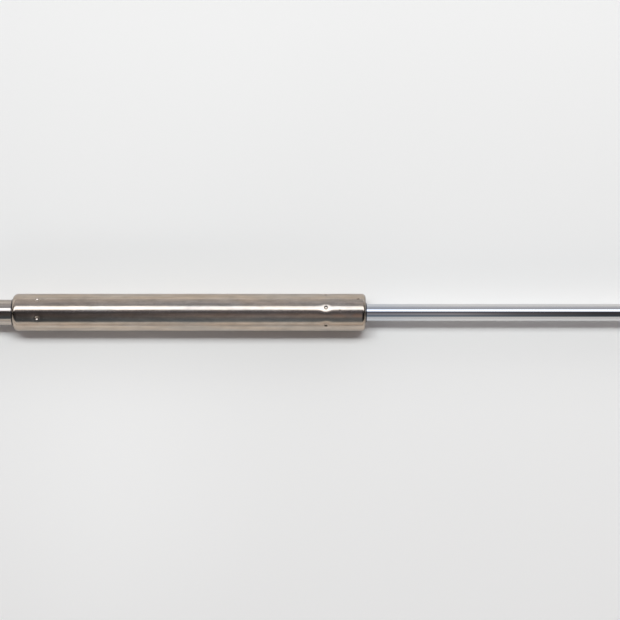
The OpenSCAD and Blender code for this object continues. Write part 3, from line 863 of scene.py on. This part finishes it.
def machined(name, light, dark, rough, centre_x=None):
    """Turned metal. Its tool marks run round X, and round the pin on the sides of an eye at centre_x."""
    material, tree, shader, place, normal = new_material(name)
    at = split(tree, place)
    ring = calc(tree, "ADD", at[0], length(tree, at[1], at[2]))
    if centre_x is not None:
        around = length(tree, calc(tree, "SUBTRACT", at[0], centre_x * MM), at[2])
        side = calc(tree, "GREATER_THAN", calc(tree, "ABSOLUTE", split(tree, normal)[1]), 0.93)
        ring = product(tree, ring, calc(tree, "SUBTRACT", 1.0, side))
        ring = calc(tree, "ADD", ring, product(tree, around, side))
    seed = put(tree, "ShaderNodeCombineXYZ", {0: ring, 1: 0.0, 2: 0.0}).outputs[0]
    cuts = noise(tree, seed, (3200, 1, 1), 4, 0.7)
    cloud = noise(tree, place, (160, 160, 160), 4, 0.6)
    speck = noise(tree, place, (1500, 1500, 1500), 2, 0.5)
    colour = mix_colour(tree, stretch(tree, cloud, 0.35, 0.68), light, dark)
    shade = product(tree, stretch(tree, cuts, 0.25, 0.75, 0.9, 1.06),
                    stretch(tree, speck, 0.2, 0.4, 0.93, 1.0))
    colour = tinted(tree, colour, grey_of(tree, shade))
    roughness = calc(tree, "ADD", stretch(tree, cuts, 0.3, 0.7, rough * 0.85, rough * 1.2),
                     stretch(tree, cloud, 0.4, 0.7, 0.0, rough * 0.4))
    finish_shader(tree, shader, colour, roughness, cuts, 0.0000035)
    return material


def soft(name, light, dark, rough, grain, depth, metallic=0.0):
    """Rubber, resin and blackened steel: a mottled colour with a fine grain."""
    material, tree, shader, place, _ = new_material(name)
    cloud = noise(tree, place, (260, 260, 260), 4, 0.6)
    fine = noise(tree, place, (grain, grain, grain), 3, 0.6)
    colour = mix_colour(tree, stretch(tree, cloud, 0.35, 0.68), light, dark)
    colour = mix_colour(tree, stretch(tree, fine, 0.3, 0.7, 0.0, 0.25), colour, dark)
    roughness = stretch(tree, cloud, 0.3, 0.7, rough * 0.85, rough * 1.15)
    finish_shader(tree, shader, colour, roughness, fine, depth, metallic)
    return material


# light colour, dark colour and roughness
TURNED_STEEL = (0.58, 0.56, 0.53), (0.50, 0.48, 0.455), 0.22

MATERIALS = {
    "barrel_steel": drawn_tube("barrel_steel", (0.605, 0.495, 0.395), (0.54, 0.475, 0.41), 0.13, tone_along_x=(
        (BARREL_X, 0.95), (BARREL_X + 10, 0.97), (BARREL_X + 30, 0.90), (BARREL_X + 62, 1.0),
        (BARREL_X + 112, 0.98), (BARREL_X + 160, 0.97), (BARREL_X + 200, 0.94), (BARREL_END, 0.96),
    ), lips=(BARREL_X, BARREL_END), stains=(
        (BARREL_END - 4.4, 45, 1.0, 0.75, 0.9, (0.17, 0.13, 0.10)),
        (BARREL_END - 5.2, -9, 3.2, 1.5, 0.5, (0.60, 0.40, 0.28)),
        (BARREL_END - 15.5, -11, 4.0, 1.3, 0.4, (0.60, 0.40, 0.28)),
        (BARREL_END - 20.0, 44, 7.0, 2.0, 0.25, (0.50, 0.46, 0.42)),
        (BARREL_X + 26, 40, 9.0, 1.4, 0.25, (0.66, 0.52, 0.42)),
        (BARREL_X + 34, -52, 12.0, 1.5, 0.3, (0.66, 0.50, 0.38)),
        (BARREL_X + 60, 38, 14.0, 1.6, 0.3, (0.60, 0.47, 0.37)),
    )),
    "stage_steel": drawn_tube("stage_steel", (0.575, 0.505, 0.435), (0.54, 0.48, 0.425), 0.10),
    "rod_chrome": chrome("rod_chrome"),
    "fitting_steel": machined("fitting_steel", *TURNED_STEEL, centre_x=0.0),
    "rod_eye_steel": machined("rod_eye_steel", *TURNED_STEEL, centre_x=ROD_EYE_X),
    "fastener_steel": machined("fastener_steel", (0.60, 0.61, 0.63), (0.50, 0.51, 0.53), 0.26),
    "black_steel": soft("black_steel", (0.055, 0.055, 0.06), (0.025, 0.025, 0.03), 0.38, 2400, 0.000004, 0.6),
    "bearing_bronze": machined("bearing_bronze", (0.66, 0.44, 0.21), (0.50, 0.32, 0.15), 0.27),
    "copper": machined("copper", (0.78, 0.42, 0.28), (0.60, 0.31, 0.20), 0.33),
    "gland_aluminium": machined("gland_aluminium", (0.80, 0.80, 0.81), (0.70, 0.70, 0.71), 0.26),
    "seal_rubber": soft("seal_rubber", (0.022, 0.022, 0.024), (0.010, 0.010, 0.012), 0.5, 3000, 0.000006),
    "seal_polyurethane": soft(
        "seal_polyurethane", (0.06, 0.19, 0.14), (0.03, 0.12, 0.09), 0.4, 1500, 0.000004),
    "guide_resin": soft("guide_resin", (0.30, 0.20, 0.11), (0.20, 0.13, 0.07), 0.6, 2200, 0.000008),
}

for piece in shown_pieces():
    slot = piece.get("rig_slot") or SLOT_OF[piece.name]
    key = "rod_eye_steel" if piece.name == "rod_eye_body" else slot
    piece.data.materials.clear()
    piece.data.materials.append(MATERIALS[key])


# ---- Floor ----

FLOOR_X, FLOOR_Z = 0.25, -BARREL_R * MM
FLOOR_HALF = 3.0

floor_mesh = bpy.data.meshes.new("floor")
floor_mesh.from_pydata(
    [(FLOOR_X + x * FLOOR_HALF, y * FLOOR_HALF, FLOOR_Z) for x, y in ((-1, -1), (1, -1), (1, 1), (-1, 1))],
    [], [(0, 1, 2, 3)],
)
floor = bpy.data.objects.new("floor", floor_mesh)
bpy.context.scene.collection.objects.link(floor)

paper, tree, shader, place, _ = new_material("floor_paper")
# Its tone: faint clouds, painted light that makes it a little paler towards +X, and painted shade that makes
# it a little darker along the object's +Y side
at = split(tree, place)
tone = product(
    tree,
    stretch(tree, noise(tree, place, (2.5, 2.5, 2.5), 2, 0.5), 0.3, 0.7, 0.926, 0.947),
    stretch(tree, at[0], BARREL_X * MM, (BARREL_END + 150) * MM, 0.985, 1.015),
    ramp_of(tree, at[1], -0.17, 0.17, (
        (-0.17, 0.962), (-0.06, 0.968), (0.03, 0.94), (0.08, 0.944), (0.17, 0.962),
    )),
)
tree.links.new(grey_of(tree, tone), shader.inputs["Base Color"])
shader.inputs["Roughness"].default_value = 0.95
shader.inputs["Specular IOR Level"].default_value = 0.0
# The lamps light only the floor near the object. Its far part glows a little, for the camera alone.
far = put(tree, "ShaderNodeVectorMath", {0: place, 1: (FLOOR_X, 0, 0)}, operation="DISTANCE").outputs["Value"]
seen = put(tree, "ShaderNodeLightPath").outputs["Is Camera Ray"]
glow = product(tree, stretch(tree, far, 0.28, 1.9, 0.0, 0.275), seen)
tree.links.new(glow, shader.inputs["Emission Strength"])
floor_mesh.materials.append(paper)


# ---- Light ----

STRIP_DISTANCE, STRIP_LENGTH, STRIP_GLOW = 1.6, 1.3, 2.2


def lamp(name, kind, watts, location, tip):
    """A lamp tipped about X that neither the camera nor a reflection sees. Returns its settings."""
    data = bpy.data.lights.new(name, kind)
    data.energy = watts
    light = bpy.data.objects.new(name, data)
    bpy.context.scene.collection.objects.link(light)
    light.location = location
    light.rotation_euler = (tip, 0, 0)
    light.visible_glossy = light.visible_camera = False
    return data


def strip_light(name, near, far, watts):
    """A strip over the +Y side, seen from the object between two angles from the vertical."""
    tilt = math.radians((near + far) / 2)
    middle = (BARREL_X + BARREL_END) / 2 * MM
    place = (middle, STRIP_DISTANCE * math.sin(tilt), STRIP_DISTANCE * math.cos(tilt))
    data = lamp(name, "AREA", watts, place, -tilt)
    data.color = (0.955, 1, 1)
    data.shape = "RECTANGLE"
    data.size = STRIP_LENGTH
    data.size_y = 2 * STRIP_DISTANCE * math.tan(math.radians(far - near) / 2)


strip_light("key_near", 16.9, 21.5, 10.3)
strip_light("key_far", 21.5, 30, 8.4)

# A weak lamp that lightens the shadow beside the barrel's base end
fill = lamp("fill", "SPOT", 1.0, ((BARREL_X + 55) * MM, -0.5, 0.26), math.atan2(0.48, 0.27))
fill.shadow_soft_size = 0.06
fill.spot_size = math.radians(22)
fill.spot_blend = 0.8

ROOM = [
    # degrees from the vertical towards +Y, and the room's light from there
    (-100, 0.66, 0.66, 0.67), (-88, 0.66, 0.65, 0.65), (-80, 0.635, 0.60, 0.58), (-73, 0.75, 0.73, 0.71),
    (-66, 0.62, 0.62, 0.62), (-62.5, 0.57, 0.57, 0.58), (-60.4, 0.30, 0.31, 0.33), (-59.4, 0.71, 0.86, 1.02),
    (-45, 0.69, 0.81, 0.96), (-36, 0.71, 0.78, 0.89), (-26, 0.76, 0.74, 0.78), (-13, 0.74, 0.67, 0.71),
    (-6, 0.61, 0.58, 0.64), (0, 0.50, 0.51, 0.60), (4, 0.47, 0.48, 0.59), (10, 0.20, 0.20, 0.23),
    (22, 0.42, 0.42, 0.43), (44, 0.40, 0.43, 0.47), (50, 0.42, 0.45, 0.505), (57, 0.49, 0.50, 0.55),
    (64, 0.525, 0.53, 0.575), (78, 0.54, 0.545, 0.57), (88, 0.61, 0.615, 0.64), (100, 0.66, 0.66, 0.68),
]
CEILING = [
    # how far towards +X, and how bright the dark ceiling is there
    (-1, 0.06), (-0.5, 0.075), (-0.2, 0.09), (-0.147, 0.109), (-0.12, 0.135), (-0.095, 0.186),
    (-0.055, 0.28), (-0.035, 0.315), (-0.015, 0.29), (0.01, 0.265), (0.03, 0.255), (0.07, 0.24),
    (0.105, 0.135), (0.145, 0.07), (0.3, 0.05), (1, 0.05),
]
PATCH = [
    # a paler patch of the ceiling: how far towards +X, and how much it adds
    (-0.12, 0.0), (-0.055, 0.02), (-0.015, 0.05), (0.02, 0.135), (0.07, 0.165), (0.10, 0.03), (0.14, 0.0),
]

world = bpy.data.worlds.new("studio")
world.use_nodes = True
bpy.context.scene.world = world
tree = world.node_tree
tree.nodes.clear()
way = split(tree, put(tree, "ShaderNodeTexCoord").outputs["Generated"])
path = put(tree, "ShaderNodeLightPath").outputs
tilt = product(tree, calc(tree, "ARCTAN2", way[1], way[2]), 180 / math.pi)
room = ramp_of(tree, tilt, -100, 100, ROOM)

# The dark ceiling overhead, with its paler patch
overhead = between(tree, tilt, -60.4, -59.4, 4, 10)
room = tinted(tree, room, mix_colour(tree, overhead, (1, 1, 1), ramp_of(tree, way[0], -1, 1, CEILING)))
patch = between(tree, tilt, -37, -27, -20, -6)
patch = mix_colour(tree, patch, (0, 0, 0), ramp_of(tree, way[0], -0.12, 0.14, PATCH))
room = mix_colour(tree, 1.0, room, tinted(tree, patch, (1.0, 0.9, 0.92)), "ADD")

# The room is dark towards its two ends, except for matt surfaces
ends = product(tree, stretch(tree, way[0], 0.92, 0.6, 0.12, 1.0),
               stretch(tree, way[0], -0.97, -0.75, 0.12, 1.0))
ends = calc(tree, "MAXIMUM", ends, path["Is Diffuse Ray"])
room = tinted(tree, room, grey_of(tree, ends))

# For matt surfaces the room is brighter low on the +Y side, and warmer all round
low = product(tree, stretch(tree, tilt, 52, 60), path["Is Diffuse Ray"])
room = mix_colour(tree, low, room, (0.86, 0.97, 1.04))
room = tinted(tree, room, mix_colour(tree, path["Is Diffuse Ray"], (1, 1, 1), (1.24, 1.08, 1.0)))

# The strip light's reflection, which only polished surfaces see
strip = product(
    tree,
    between(tree, tilt, 14.0, 20.0, 35.2, 41.2),
    between(tree, way[0], -0.98, -0.88, 0.80, 0.86),
    stretch(tree, path["Diffuse Depth"], 0, 1, 1, 0),
    path["Is Glossy Ray"],
    STRIP_GLOW,
)
room = mix_colour(tree, 1.0, room, tinted(tree, grey_of(tree, strip), (0.925, 1.0, 1.12)), "ADD")

# What the camera sees past the floor's edge is a plain pale backdrop
room = mix_colour(tree, path["Is Camera Ray"], room, (0.60, 0.595, 0.595))
background = put(tree, "ShaderNodeBackground", {"Color": room, "Strength": 1.0})
tree.links.new(background.outputs[0], put(tree, "ShaderNodeOutputWorld").inputs[0])


# ---- Camera, straight above, with the rod's end and the base end out of view ----

VIEW_WIDTH = 364.25
CAMERA_X, CAMERA_Y, CAMERA_HEIGHT = BARREL_END - 32.6, 1.42, 1175.0

camera_data = bpy.data.cameras.new("camera")
camera_data.sensor_width = 36
camera_data.lens = camera_data.sensor_width * CAMERA_HEIGHT / VIEW_WIDTH
camera_data.clip_start, camera_data.clip_end = 0.05, 50
camera = bpy.data.objects.new("camera", camera_data)
camera.location = (CAMERA_X * MM, CAMERA_Y * MM, CAMERA_HEIGHT * MM)
bpy.context.scene.collection.objects.link(camera)
bpy.context.scene.camera = camera
bpy.context.scene.view_settings.view_transform = "Standard"
